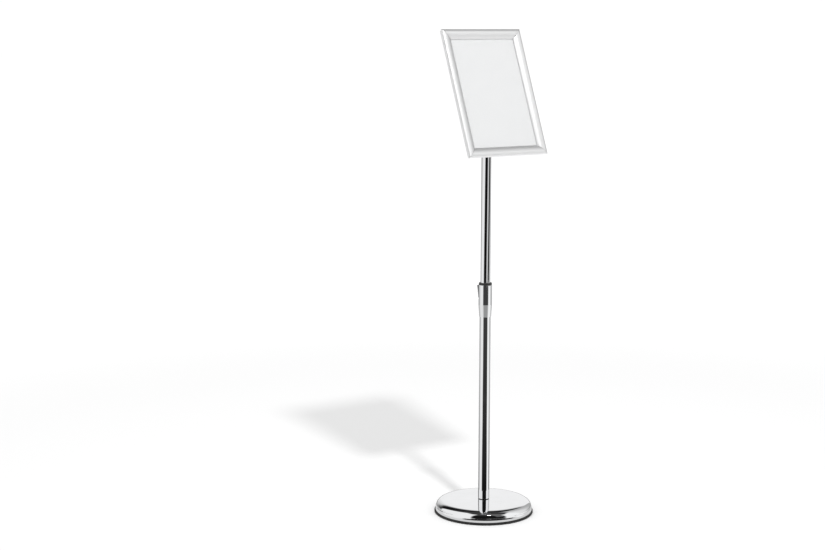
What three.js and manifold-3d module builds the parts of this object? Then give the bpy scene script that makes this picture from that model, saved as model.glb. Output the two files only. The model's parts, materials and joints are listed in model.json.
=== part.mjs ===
// Telescopic floor stand with a hinged-rail (snap) frame for one A4 sheet.
// Units are millimetres, +Z is up, the origin is on the floor under the middle of the round base,
// the sheet faces -Y and its width runs along X.
import * as THREE from "three";
import { mergeVertices } from "three/addons/utils/BufferGeometryUtils.js";
import Module from "manifold-3d";

const wasm = await Module();
wasm.setup();

// ---------------------------------------------------------------- driving sizes
// base
const BASE_R = 125; // outer radius of the rubber edge ring
const RING_H = 6; // height of the edge ring
const DOME_TOP = 33.8; // crown of the cover at its middle
const COVER_T = 1.2; // cover sheet thickness
// column
const LOWER_R = 14; // lower tube, outer
const UPPER_R = 12.5; // upper tube, outer
const LOWER_T = 0.9; // lower tube wall
const UPPER_T = 1.2; // upper tube wall
const BUSH_R = 12.95; // guide bush on the upper tube's lower end, wider than the sleeve bore so it is the top stop
const SLEEVE_R = 12.65; // bore of the sleeve in the collar
const LOWER_Z0 = 35.2; // bottom end of the lower tube
const LOWER_Z1 = 547; // top end of the lower tube, inside the collar
const UPPER_LEN = 660; // cut length of the upper tube
// height lock collar
const COLLAR_Z0 = 504;
const COLLAR_ZC = 535; // where the cone turns into the barrel
const COLLAR_Z1 = 584.6; // rim
const SLEEVE_RIM_R = 16.4; // ring of the sleeve that sits on the collar's rim
const SLEEVE_Z1 = 589.8;
const COLLAR_R = 17.2;
const LEVER_AZ = 143.2; // direction the lever faces, degrees from +X
const PIN_R = 16.0; // distance of the lever pin from the column axis
const PIN_Z = 553;
// head
const TILT_Z = 1051; // height of the tilt axis, on the column axis
const BACK_GAP = 27; // tilt axis to the back face of the frame
const TILT = 21.5; // lean of the sheet from vertical, degrees
const TONGUE = 12; // tongue thickness between the fork ears
// snap frame
const W = 240; // outer width
const H = 327; // outer height
const SHEET_W = 210;
const SHEET_H = 297;
const MITRE = 0.3; // each rail stops this far short of the mitre line
const HINGE_S = 2.6; // flap hinge axis, in from the outer edge
const HINGE_T = 5.6; // flap hinge axis, forward of the back face

const rad = THREE.MathUtils.degToRad;

// ---------------------------------------------------------------- materials
const mat = (color, roughness, metalness, extra = {}) =>
  new THREE.MeshStandardMaterial({ color, roughness, metalness, ...extra });
const chrome = mat(0xe8eaec, 0.04, 1);
const anodised = mat(0xdcdee0, 0.35, 1);
const steel = mat(0xb4b7ba, 0.35, 1);
const blackRubber = mat(0x0b0b0c, 0.6, 0);
const blackPlastic = mat(0x121314, 0.45, 0);
const castIron = mat(0x3a3b3d, 0.7, 0.6);
const paleBoard = mat(0xd9dadb, 0.6, 0);
const paper = mat(0xf0f0f0, 0.8, 0);
const clear = mat(0xf7f8f8, 0.15, 0, { transparent: true, opacity: 0.3 });
const nylon = mat(0xe6e4de, 0.5, 0);
const silverPaint = mat(0xb9bbbe, 0.45, 0.5);

// ---------------------------------------------------------------- helpers
// A closed geometry becomes a solid: only positions are kept and shared corners are merged.
function solid(geometry, matrix) {
  const g = geometry.index ? geometry.toNonIndexed() : geometry.clone();
  const p = new THREE.BufferGeometry().setAttribute(
    "position",
    g.getAttribute("position").clone(),
  );
  if (matrix) p.applyMatrix4(matrix);
  const m = mergeVertices(p, 1e-4);
  const idx = m.index.array,
    pos = m.attributes.position.array,
    tri = [];
  for (let i = 0; i < idx.length; i += 3) {
    const [a, b, c] = [idx[i], idx[i + 1], idx[i + 2]];
    if (a !== b && b !== c && a !== c) tri.push(a, b, c);
  }
  // signed volume tells whether the faces point out
  let v = 0;
  for (let i = 0; i < tri.length; i += 3) {
    const [a, b, c] = [tri[i] * 3, tri[i + 1] * 3, tri[i + 2] * 3];
    v +=
      pos[a] * (pos[b + 1] * pos[c + 2] - pos[b + 2] * pos[c + 1]) -
      pos[a + 1] * (pos[b] * pos[c + 2] - pos[b + 2] * pos[c]) +
      pos[a + 2] * (pos[b] * pos[c + 1] - pos[b + 1] * pos[c]);
  }
  if (v < 0)
    for (let i = 0; i < tri.length; i += 3)
      [tri[i + 1], tri[i + 2]] = [tri[i + 2], tri[i + 1]];
  return new wasm.Manifold(
    new wasm.Mesh({
      numProp: 3,
      vertProperties: new Float32Array(pos),
      triVerts: new Uint32Array(tri),
    }),
  );
}

function geometryOf(s) {
  const m = s.getMesh(),
    n = m.numProp,
    v = new Float32Array(m.numVert * 3);
  for (let i = 0; i < m.numVert; i++)
    v.set(m.vertProperties.subarray(i * n, i * n + 3), i * 3);
  const g = new THREE.BufferGeometry()
    .setAttribute("position", new THREE.BufferAttribute(v, 3))
    .setIndex(new THREE.BufferAttribute(new Uint32Array(m.triVerts), 1));
  g.computeVertexNormals();
  return g;
}

function part(name, s, material, parent) {
  const mesh = new THREE.Mesh(geometryOf(s), material);
  mesh.name = name;
  parent.add(mesh);
  return mesh;
}

const move = (x, y, z) => new THREE.Matrix4().makeTranslation(x, y, z);
const turnX = (d) => new THREE.Matrix4().makeRotationX(rad(d));
const turnY = (d) => new THREE.Matrix4().makeRotationY(rad(d));
const turnZ = (d) => new THREE.Matrix4().makeRotationZ(rad(d));
const chain = (...ms) =>
  ms.reduce((a, b) => a.clone().multiply(b), new THREE.Matrix4());

// profile [[r, z], ...] turned about Z; a profile off the axis is closed on itself
function turned(profile, segments = 48, matrix) {
  const onAxis = profile[0][0] < 1e-9 && profile.at(-1)[0] < 1e-9;
  const pts = profile.map(([r, z]) => new THREE.Vector2(r, z));
  if (!onAxis) pts.push(pts[0].clone());
  const g = new THREE.LatheGeometry(pts, segments);
  g.applyMatrix4(turnX(90));
  return solid(g, matrix);
}

// a plain tube or rod about Z
function rod(r, z0, z1, segments = 24, matrix) {
  return turned(
    [
      [0, z0],
      [r, z0],
      [r, z1],
      [0, z1],
    ],
    segments,
    matrix,
  );
}
function tube(r0, r1, z0, z1, segments = 48, matrix) {
  return turned(
    [
      [r0, z0],
      [r1, z0],
      [r1, z1],
      [r0, z1],
    ],
    segments,
    matrix,
  );
}
function box(x0, x1, y0, y1, z0, z1, matrix) {
  const g = new THREE.BoxGeometry(x1 - x0, y1 - y0, z1 - z0);
  g.translate((x0 + x1) / 2, (y0 + y1) / 2, (z0 + z1) / 2);
  return solid(g, matrix);
}
// outline [[x, y], ...] pushed along Z
function pushed(outline, z0, z1, matrix) {
  const shape = new THREE.Shape(
    outline.map(([x, y]) => new THREE.Vector2(x, y)),
  );
  const g = new THREE.ExtrudeGeometry(shape, {
    depth: z1 - z0,
    bevelEnabled: false,
    steps: 1,
  });
  g.translate(0, 0, z0);
  return solid(g, matrix);
}
const hexagon = (af) =>
  [...Array(6).keys()].map((i) => {
    const a = rad(30 + 60 * i),
      r = af / 2 / Math.cos(rad(30));
    return [r * Math.cos(a), r * Math.sin(a)];
  });
const arc = (cx, cy, r, a0, a1, n) =>
  [...Array(n + 1).keys()].map((i) => {
    const a = rad(a0 + ((a1 - a0) * i) / n);
    return [cx + r * Math.cos(a), cy + r * Math.sin(a)];
  });
// screw along Z: shank below z = 0, head above
function hexBolt(r, len, af, headH, segments = 20) {
  return rod(r, -len, 0.5, segments).add(pushed(hexagon(af), 0, headH));
}
function panScrew(r, len, headR, headH) {
  const s = turned(
    [
      [0, -len],
      [r * 0.55, -len],
      [r, -len + 1],
      [r, 0],
      [headR, 0],
      [headR * 0.96, headH * 0.55],
      [headR * 0.6, headH],
      [0, headH],
    ],
    14,
  );
  // crossed drive slots
  return s
    .subtract(box(-headR * 0.55, headR * 0.55, -0.35, 0.35, headH * 0.5, 9))
    .subtract(box(-0.35, 0.35, -headR * 0.55, headR * 0.55, headH * 0.5, 9));
}

const stand = new THREE.Group();
const base = new THREE.Group();
const column = new THREE.Group();
const lock = new THREE.Group(); // local +X points at the lever
const head = new THREE.Group();
const frame = new THREE.Group(); // local x right, y up the sheet, z out of the sheet, z = 0 on the back face
stand.add(base, column, lock, head, frame);
lock.rotation.z = rad(LEVER_AZ);
frame.rotation.x = rad(90 - TILT);
frame.position.set(
  0,
  -BACK_GAP * Math.cos(rad(TILT)),
  TILT_Z + BACK_GAP * Math.sin(rad(TILT)),
);

// ---------------------------------------------------------------- base
part(
  "edge_ring",
  turned(
    [
      [117, 0],
      [BASE_R - 0.8, 0],
      [BASE_R, 0.9],
      [BASE_R, 4.6],
      [BASE_R - 0.8, RING_H - 0.2],
      [123.4, RING_H],
      [120.8, RING_H],
      [120.8, 2.2],
      [117, 2.2],
    ],
    60,
  ),
  blackRubber,
  base,
);
part(
  "base_cover",
  turned(
    [
      [122.6, RING_H + 0.3],
      [122.4, 11],
      [121.6, 15.4],
      [120.6, 16.6],
      [119.4, 20.4],
      [117.0, 24.8],
      [112.8, 28.2],
      [106, 30.4],
      [92, 31.9],
      [60, 33.0],
      [6.5, DOME_TOP],
      [6.5, DOME_TOP - COVER_T],
      [60, 31.8],
      [92, 30.7],
      [105.6, 29.2],
      [112.1, 27.1],
      [116.0, 23.9],
      [118.2, 20.0],
      [119.6, 15.6],
      [121.2, 10.8],
      [121.4, RING_H + 0.3],
    ],
    60,
  ),
  chrome,
  base,
);
part(
  "base_weight",
  turned(
    [
      [15.5, 4.4],
      [112, 4.4],
      [114, 6.4],
      [114, 16],
      [109, 20],
      [26, 21],
      [20, 24],
      [19, 31.6],
      [5.6, 32.0],
      [5.6, 14.6],
      [15.5, 14.6],
    ],
    40,
  ),
  castIron,
  base,
);
part(
  "bottom_plate",
  turned(
    [
      [17, 2.6],
      [120.4, 2.6],
      [120.4, 4.1],
      [17, 4.1],
    ],
    40,
  ),
  blackPlastic,
  base,
);
part("base_bolt_washer", tube(5.5, 12, 12.3, 14.3, 24), steel, base);
part(
  "base_bolt",
  rod(5, 11.5, 60, 20).add(pushed(hexagon(16), 5.6, 12.0)),
  steel,
  base,
);

// ---------------------------------------------------------------- column
part(
  "pole_seat_washer",
  tube(6.5, LOWER_R, DOME_TOP + 0.25, LOWER_Z0 - 0.25, 40),
  blackPlastic,
  column,
);
part(
  "lower_tube",
  tube(LOWER_R - LOWER_T, LOWER_R, LOWER_Z0, LOWER_Z1, 40),
  chrome,
  column,
);
part(
  "tube_foot_plug",
  turned(
    [
      [5.3, LOWER_Z0 + 0.4],
      [12.0, LOWER_Z0 + 0.4],
      [12.7, LOWER_Z0 + 1.4],
      [12.7, 66],
      [11.7, 68],
      [5.3, 68],
    ],
    32,
  ),
  steel,
  column,
);
// the upper tube, its lower end plug and its stop
const UPPER_Z1 = TILT_Z - 29.3;
const UPPER_Z0 = UPPER_Z1 - UPPER_LEN;
part(
  "upper_tube",
  tube(UPPER_R - UPPER_T, UPPER_R, UPPER_Z0, UPPER_Z1, 40),
  chrome,
  column,
);
part(
  "guide_plug",
  turned(
    [
      [5, UPPER_Z0 - 6.3],
      [BUSH_R - 0.6, UPPER_Z0 - 6.3],
      [BUSH_R, UPPER_Z0 - 5.6],
      [BUSH_R, UPPER_Z0 - 0.3],
      [11.0, UPPER_Z0 - 0.3],
      [11.0, UPPER_Z0 + 16],
      [10.2, UPPER_Z0 + 18],
      [5, UPPER_Z0 + 18],
    ],
    32,
  ),
  nylon,
  column,
);

// ---------------------------------------------------------------- height lock
// slot for the lever, open to the rim
const slot = box(14.2, 24, -5.3, 5.3, PIN_Z - 4.6, COLLAR_Z1 + 2);
const pinHole = rod(0.95, -11, 11, 16, chain(move(PIN_R, 0, PIN_Z), turnX(90)));
const setHole = rod(1.75, 12, 20, 16, chain(turnZ(-90), move(0, 0, 520), turnY(90)));
part(
  "collar",
  turned(
    [
      [14.3, COLLAR_Z0],
      [14.75, COLLAR_Z0 + 0.2],
      [COLLAR_R - 0.25, COLLAR_ZC - 1.2],
      [COLLAR_R, COLLAR_ZC + 0.8],
      [COLLAR_R, COLLAR_Z1 - 0.7],
      [COLLAR_R - 0.7, COLLAR_Z1],
      [15.9, COLLAR_Z1],
      [15.7, COLLAR_Z1 - 0.3],
      [15.7, LOWER_Z1 + 0.6],
      [14.3, LOWER_Z1 + 0.6],
    ],
    40,
  )
    .subtract(slot)
    .subtract(pinHole)
    .subtract(setHole),
  chrome,
  lock,
);
// the sleeve the upper tube slides in: window for the brake pad, clearance for the lever
part(
  "clutch_sleeve",
  turned(
    [
      [SLEEVE_R, LOWER_Z1 + 0.9],
      [15.35, LOWER_Z1 + 0.9],
      [15.35, COLLAR_Z1 + 0.3],
      [SLEEVE_RIM_R, COLLAR_Z1 + 0.3],
      [SLEEVE_RIM_R, SLEEVE_Z1 - 0.6],
      [SLEEVE_RIM_R - 0.6, SLEEVE_Z1],
      [13.3, SLEEVE_Z1],
      [SLEEVE_R, SLEEVE_Z1 - 0.6],
    ],
    40,
  )
    .subtract(box(0, 24, -5.3, 5.3, LOWER_Z1 + 0.5, PIN_Z + 5))
    .subtract(box(14.2, 24, -5.6, 5.6, PIN_Z + 4.5, COLLAR_Z1 + 0.15)),
  blackPlastic,
  lock,
);
part(
  "brake_pad",
  tube(12.8, 14.0, PIN_Z - 4.0, PIN_Z + 4.4, 40).intersect(
    box(0, 24, -4.9, 4.9, PIN_Z - 9, PIN_Z + 9),
  ),
  blackPlastic,
  lock,
);
// lever outline in the plane of its swing: x outwards, y up; the cam lobe faces the pad when closed
{
  const cam = [];
  for (let i = 0; i <= 12; i++) {
    const a = 170 + (i * 145) / 12; // from facing the pad round to facing down and out
    const k = Math.min(1, Math.max(0, (a - 185) / 75));
    const r = 1.7 - 0.55 * k;
    cam.push([
      PIN_R + r * Math.cos(rad(a)),
      PIN_Z + r * Math.sin(rad(a)),
    ]);
  }
  const outline = [
    ...cam,
    [17.35, PIN_Z + 0.2],
    [17.6, PIN_Z + 4],
    [19.9, PIN_Z + 27],
    [20.35, PIN_Z + 29.6],
    [19.9, PIN_Z + 30.9],
    [18.8, PIN_Z + 31.2],
    [17.0, PIN_Z + 30.6],
    [16.0, PIN_Z + 29.0],
    [15.75, PIN_Z + 26],
    [15.2, PIN_Z + 5.5],
    [14.5, PIN_Z + 3.0],
  ];
  part(
    "lock_lever",
    pushed(outline, -4.9, 4.9, turnX(90)).subtract(
      rod(0.95, -9, 9, 16, chain(move(PIN_R, 0, PIN_Z), turnX(90))),
    ),
    chrome,
    lock,
  );
}
// keep the pin inside the barrel of the collar
part(
  "lever_pin",
  rod(0.75, -5.9, 5.9, 12, chain(move(PIN_R, 0, PIN_Z), turnX(90))),
  steel,
  lock,
);
part(
  "collar_set_screw",
  rod(1.5, 14.2, 15.6, 16, chain(turnZ(-90), move(0, 0, 520), turnY(90))).subtract(
    pushed(hexagon(1.5), 14.9, 17, chain(turnZ(-90), move(0, 0, 520), turnY(90))),
  ),
  steel,
  lock,
);

// ---------------------------------------------------------------- head
// fork on the upper tube; x is the tilt axis
const forkSide = (x0, x1) =>
  pushed(
    [
      [-11, -26],
      [11, -26],
      [11, 0],
      ...arc(0, 0, 11, 0, 180, 12).slice(1, -1),
      [-11, 0],
    ],
    x0,
    x1,
    chain(move(0, 0, TILT_Z), turnZ(90), turnX(90)),
  );
const EAR0 = TONGUE / 2 + 0.35,
  EAR1 = EAR0 + 4.6;
let fork = forkSide(EAR0, EAR1)
  .add(forkSide(-EAR1, -EAR0))
  .add(rod(13.2, TILT_Z - 29, TILT_Z - 24.5, 40))
  .add(
    turned(
      [
        [0, TILT_Z - 56],
        [10.2, TILT_Z - 56],
        [11.0, TILT_Z - 54.5],
        [11.0, TILT_Z - 28],
        [0, TILT_Z - 28],
      ],
      32,
    ),
  )
  .subtract(rod(3.25, -20, 20, 20, chain(move(0, 0, TILT_Z), turnY(90))))
  .subtract(rod(1.8, 5, 20, 16, chain(move(0, 0, TILT_Z - 42), turnX(-90))));
// ears are trimmed to the round footprint of the fork's foot
fork = fork.intersect(
  rod(15.6, TILT_Z - 60, TILT_Z + 20, 32),
);
part("head_fork", fork, silverPaint, head);
// radial screw holding the fork's spigot in the tube
{
  const tubeMesh = column.getObjectByName("upper_tube");
  const cut = solid(tubeMesh.geometry).subtract(
    rod(1.9, 5, 20, 16, chain(move(0, 0, TILT_Z - 42), turnX(-90))),
  );
  tubeMesh.geometry = geometryOf(cut);
}
part(
  "head_lock_screw",
  panScrew(1.5, 5.6, 2.9, 1.6).transform(
    chain(move(0, UPPER_R + 0.3, TILT_Z - 42), turnX(-90)).toArray(),
  ),
  steel,
  head,
);
// tongue with its round swivel flange: z' is the sheet normal through the tilt axis
const tilted = chain(move(0, 0, TILT_Z), turnX(90 - TILT));
const FLANGE0 = BACK_GAP - 8.0,
  FLANGE1 = BACK_GAP - 4.0;
const tongue = pushed(
  [
    ...arc(0, 0, 10.5, 180, 360, 14),
    [10.5, 8],
    [14, FLANGE0 + 0.5],
    [-14, FLANGE0 + 0.5],
    [-10.5, 8],
  ],
  -TONGUE / 2,
  TONGUE / 2,
  chain(tilted, turnZ(90), turnX(90)),
)
  .add(
    turned(
      [
        [0, FLANGE0],
        [23, FLANGE0],
        [24, FLANGE0 + 1],
        [24, FLANGE1 - 0.5],
        [23.5, FLANGE1],
        [0, FLANGE1],
      ],
      36,
      tilted,
    ),
  )
  .subtract(rod(3.25, -20, 20, 20, chain(move(0, 0, TILT_Z), turnY(90))))
  .subtract(rod(2.75, 8.5, BACK_GAP, 20, tilted));
part("tilt_tongue", tongue, silverPaint, head);
part(
  "tilt_bolt",
  hexBolt(2.95, 38.2, 10, 4.0, 20).transform(
    chain(move(-EAR1 - 0.35, 0, TILT_Z), turnY(-90)).toArray(),
  ),
  steel,
  head,
);
part(
  "knob_washer",
  tube(3.25, 7.2, EAR1 + 0.35, EAR1 + 1.55, 28, chain(move(0, 0, TILT_Z), turnY(90))),
  steel,
  head,
);
{
  // six-lobed hand knob
  const lobes = [];
  for (let i = 0; i < 48; i++) {
    const a = (i / 48) * 2 * Math.PI,
      r = 13.4 + 1.4 * Math.cos(6 * a);
    lobes.push([r * Math.cos(a), r * Math.sin(a)]);
  }
  const x0 = EAR1 + 1.9;
  const knob = pushed(lobes, x0 + 5, x0 + 16, chain(move(0, 0, TILT_Z), turnY(90)))
    .add(rod(8.2, x0, x0 + 6, 28, chain(move(0, 0, TILT_Z), turnY(90))))
    .add(
      turned(
        [
          [0, x0 + 15.5],
          [11.2, x0 + 15.5],
          [9.8, x0 + 17.4],
          [0, x0 + 18.2],
        ],
        28,
        chain(move(0, 0, TILT_Z), turnY(90)),
      ),
    )
    .subtract(rod(3.25, x0 - 1, x0 + 15, 20, chain(move(0, 0, TILT_Z), turnY(90))));
  part("tilt_knob", knob, blackPlastic, head);
}
part(
  "swivel_bolt",
  turned(
    [
      [0, 10.5],
      [2.45, 10.5],
      [2.45, BACK_GAP - 1.0],
      [3.9, BACK_GAP - 1.0],
      [3.9, BACK_GAP + 0.05],
      [8.5, BACK_GAP + 0.05],
      [8.2, BACK_GAP + 1.05],
      [0, BACK_GAP + 1.15],
    ],
    28,
    tilted,
  ),
  steel,
  head,
);
part(
  "friction_washer",
  tube(4.2, 21, BACK_GAP - 3.65, BACK_GAP - 2.65, 32, tilted),
  nylon,
  head,
);

// ---------------------------------------------------------------- snap frame
// cross sections are (s, t): s in from the outer edge, t forward of the back face
const bead = arc(HINGE_S, HINGE_T, 1.2, 298, -118, 12).reverse();
const backProfile = [
  [2.0, 0.4],
  [2.4, 0],
  [24, 0],
  [24, 1.15],
  [14.6, 1.15],
  [14.6, 6.2],
  [13.5, 6.2],
  [13.5, 4.6],
  [12.4, 4.6],
  [12.4, 3.8],
  [13.5, 3.8],
  [13.5, 1.15],
  [3.3, 1.15],
  [3.3, 3.8],
  [4.2, 3.8],
  [4.2, 4.5],
  [3.2, 4.55],
  ...bead.filter(([s, t]) => t > 4.6),
  [2.0, 4.55],
];
// outer skin of the flap: ridge near one third, then down to the lip that holds the sheet
const skin = [
  [0.61, 7.27],
  [1.25, 8.25],
  [2.4, 9.3],
  [4.0, 10.3],
  [6.2, 11.1],
  [8.8, 11.5],
  [11.4, 11.4],
  [14.0, 10.9],
  [16.6, 10.1],
  [19.2, 8.9],
  [21.6, 7.5],
  [23.6, 6.1],
  [24.8, 5.1],
  [25.0, 4.45],
];
const under = [
  [23.9, 4.45],
  [22.8, 5.25],
  [21.0, 6.45],
  [18.7, 7.75],
  [16.2, 8.9],
  [13.7, 9.7],
  [11.2, 10.15],
  [8.9, 10.25],
  [6.7, 9.9],
  [5.3, 9.2],
  [4.75, 8.2],
  [4.75, 6.0],
  [4.35, 5.3],
];
const socket = arc(HINGE_S, HINGE_T, 1.5, -8, 140, 8);
const flapProfile = [...skin, ...under, ...socket];

// a rail with mitred ends along local x, s along y, t along z
function mitred(profile, length) {
  const shape = new THREE.Shape(
    profile.map(([s, t]) => new THREE.Vector2(s, t)),
  );
  const g = new THREE.ExtrudeGeometry(shape, {
    depth: 1,
    bevelEnabled: false,
    steps: 1,
  });
  const p = g.getAttribute("position");
  for (let i = 0; i < p.count; i++) {
    const s = p.getX(i),
      t = p.getY(i),
      end = p.getZ(i) > 0.5 ? 1 : -1;
    p.setXYZ(i, end * (length / 2 - s - MITRE), s, t);
  }
  return solid(g);
}
const sides = [
  ["bottom", W, 0, 0, -H / 2],
  ["right", H, 90, W / 2, 0],
  ["top", W, 180, 0, H / 2],
  ["left", H, -90, -W / 2, 0],
];
const BAR_Y = 13; // mount bar screws, each side of the middle
for (const [side, length, angle, x, y] of sides) {
  const g = new THREE.Group();
  g.rotation.z = rad(angle);
  g.position.set(x, y, 0);
  frame.add(g);
  let back = mitred(backProfile, length);
  if (side === "left" || side === "right")
    for (const k of [-1, 1])
      back = back.subtract(rod(1.95, -2, 3, 16, move(k * BAR_Y, 8.4, 0)));
  part("back_rail_" + side, back, anodised, g);
  part("flap_" + side, mitred(flapProfile, length), anodised, g);
  // two leaf springs in each rail
  for (const [i, k] of [
    ["1", -1],
    ["2", 1],
  ]) {
    const leaf = [
      [11.9, 4.95],
      [12.9, 6.7],
      [12.6, 7.5],
      [9.4, 9.2],
      [8.4, 9.25],
      [6.0, 7.9],
      [6.3, 7.4],
      [8.6, 8.7],
      [9.1, 8.7],
      [12.1, 7.1],
      [12.3, 6.75],
      [11.4, 5.1],
    ];
    part(
      `spring_${side}_${i}`,
      pushed(
        leaf,
        -7,
        7,
        chain(move(k * (length / 2 - 62), 0, 0), turnZ(90), turnX(90)),
      ),
      steel,
      g,
    );
  }
}
// corner keys in the channel of the back rails
for (const [name, angle, x, y] of [
  ["corner_key_bl", 0, -W / 2, -H / 2],
  ["corner_key_br", 90, W / 2, -H / 2],
  ["corner_key_tr", 180, W / 2, H / 2],
  ["corner_key_tl", -90, -W / 2, H / 2],
]) {
  const g = new THREE.Group();
  g.rotation.z = rad(angle);
  g.position.set(x, y, 0);
  frame.add(g);
  part(
    name,
    pushed(
      [
        [3.7, 3.7],
        [44, 3.7],
        [44, 13.1],
        [13.1, 13.1],
        [13.1, 44],
        [3.7, 44],
      ],
      1.45,
      3.45,
    ),
    steel,
    g,
  );
}
const sheet = (name, w, h, t0, t1, material) =>
  part(name, box(-w / 2, w / 2, -h / 2, h / 2, t0, t1), material, frame);
sheet("back_panel", SHEET_W, SHEET_H, 1.45, 2.75, paleBoard);
sheet("paper_insert", SHEET_W, SHEET_H, 3.0, 3.25, paper);
sheet("clear_cover", SHEET_W, SHEET_H, 3.55, 4.15, clear);
// bar across the back, screwed to the side rails and carried by the swivel
{
  const L = W / 2 - 5.2;
  let bar = pushed(
    [
      [-L, -20],
      [-70, -20],
      [-34, -24],
      [34, -24],
      [70, -20],
      [L, -20],
      [L, 20],
      [70, 20],
      [34, 24],
      [-34, 24],
      [-70, 20],
      [-L, 20],
    ],
    -2.3,
    -0.3,
  ).subtract(rod(4.15, -4, 2, 24));
  for (const sx of [-1, 1])
    for (const k of [-1, 1])
      bar = bar.subtract(
        rod(1.95, -4, 2, 16, move(sx * (W / 2 - 8.4), k * BAR_Y, 0)),
      );
  part("mount_bar", bar, silverPaint, frame);
}
for (const [name, sx, k] of [
  ["bar_screw_1", -1, -1],
  ["bar_screw_2", -1, 1],
  ["bar_screw_3", 1, -1],
  ["bar_screw_4", 1, 1],
]) {
  part(
    name,
    panScrew(1.6, 5.6, 3.2, 1.7).transform(
      chain(move(sx * (W / 2 - 8.4), k * BAR_Y, -2.6), turnX(180)).toArray(),
    ),
    steel,
    frame,
  );
}

export default stand;
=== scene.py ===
import json
import math

import bmesh
import bpy
from mathutils import Matrix, Vector


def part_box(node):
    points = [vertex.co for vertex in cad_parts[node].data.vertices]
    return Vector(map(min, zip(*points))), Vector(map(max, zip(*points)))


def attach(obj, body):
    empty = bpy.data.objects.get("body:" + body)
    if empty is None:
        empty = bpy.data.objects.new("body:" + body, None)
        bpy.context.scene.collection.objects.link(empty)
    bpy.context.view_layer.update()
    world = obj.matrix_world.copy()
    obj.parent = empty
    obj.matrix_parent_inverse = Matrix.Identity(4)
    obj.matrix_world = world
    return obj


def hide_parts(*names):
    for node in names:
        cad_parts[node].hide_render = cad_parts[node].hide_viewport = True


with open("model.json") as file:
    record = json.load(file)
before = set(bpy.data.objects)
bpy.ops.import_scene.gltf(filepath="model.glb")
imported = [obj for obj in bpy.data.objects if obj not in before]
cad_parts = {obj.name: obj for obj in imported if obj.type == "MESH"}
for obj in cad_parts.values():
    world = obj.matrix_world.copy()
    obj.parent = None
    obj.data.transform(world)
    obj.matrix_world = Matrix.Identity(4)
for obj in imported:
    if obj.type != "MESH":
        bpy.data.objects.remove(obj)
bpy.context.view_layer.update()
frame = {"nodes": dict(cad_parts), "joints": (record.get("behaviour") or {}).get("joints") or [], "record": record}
nodes = frame["nodes"]
joints = {j["name"]: j for j in frame["joints"]}
scene = bpy.context.scene
MM = 0.001


# ------------------------------------------------------------------ positions from the frame
def mm_box(node):
    lo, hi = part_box(node)
    return lo / MM, hi / MM


ring_lo, ring_hi = mm_box("edge_ring")
cover_lo, cover_hi = mm_box("base_cover")
low_lo, low_hi = mm_box("lower_tube")
up_lo, up_hi = mm_box("upper_tube")
col_lo, col_hi = mm_box("collar")
sleeve_lo, sleeve_hi = mm_box("clutch_sleeve")
BASE_R = ring_hi.x
LOWER_R = low_hi.x
UPPER_R = up_hi.x
COLLAR_R = (col_hi.x - col_lo.x) / 2
TILT = Vector(joints["frame_tilt"]["pos_m"]) / MM
NORMAL = Vector(joints["frame_swivel"]["axis"]).normalized()
PIN = Vector(joints["lock_lever_hinge"]["pos_m"]) / MM
LEVER_AZ = math.atan2(PIN.y, PIN.x)
PIN_R = math.hypot(PIN.x, PIN.y)
# the sheet's frame: x along its width, y up the sheet, z out of it, on the tilt axis
TILTED = Matrix.Translation(TILT) @ Matrix(
    (
        (1, 0, 0, 0),
        (0, -NORMAL.cross(Vector((1, 0, 0))).y * -1, NORMAL.y, 0),
        (0, NORMAL.cross(Vector((1, 0, 0))).z, NORMAL.z, 0),
        (0, 0, 0, 1),
    )
)
panel_co = [TILTED.inverted() @ (v.co / MM) for v in nodes["back_panel"].data.vertices]
flap_co = [TILTED.inverted() @ (v.co / MM) for v in nodes["flap_top"].data.vertices]
flap_side = [TILTED.inverted() @ (v.co / MM) for v in nodes["flap_right"].data.vertices]
PANEL_BACK = min(p.z for p in panel_co)  # rear face of the backing board
BACK = PANEL_BACK - 1.45  # back face of the frame
FRAME = TILTED @ Matrix.Translation((0, 0, BACK))
H = 2 * (max(p.y for p in flap_co) + 0.61)
W = 2 * (max(p.x for p in flap_side) + 0.61)


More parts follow.
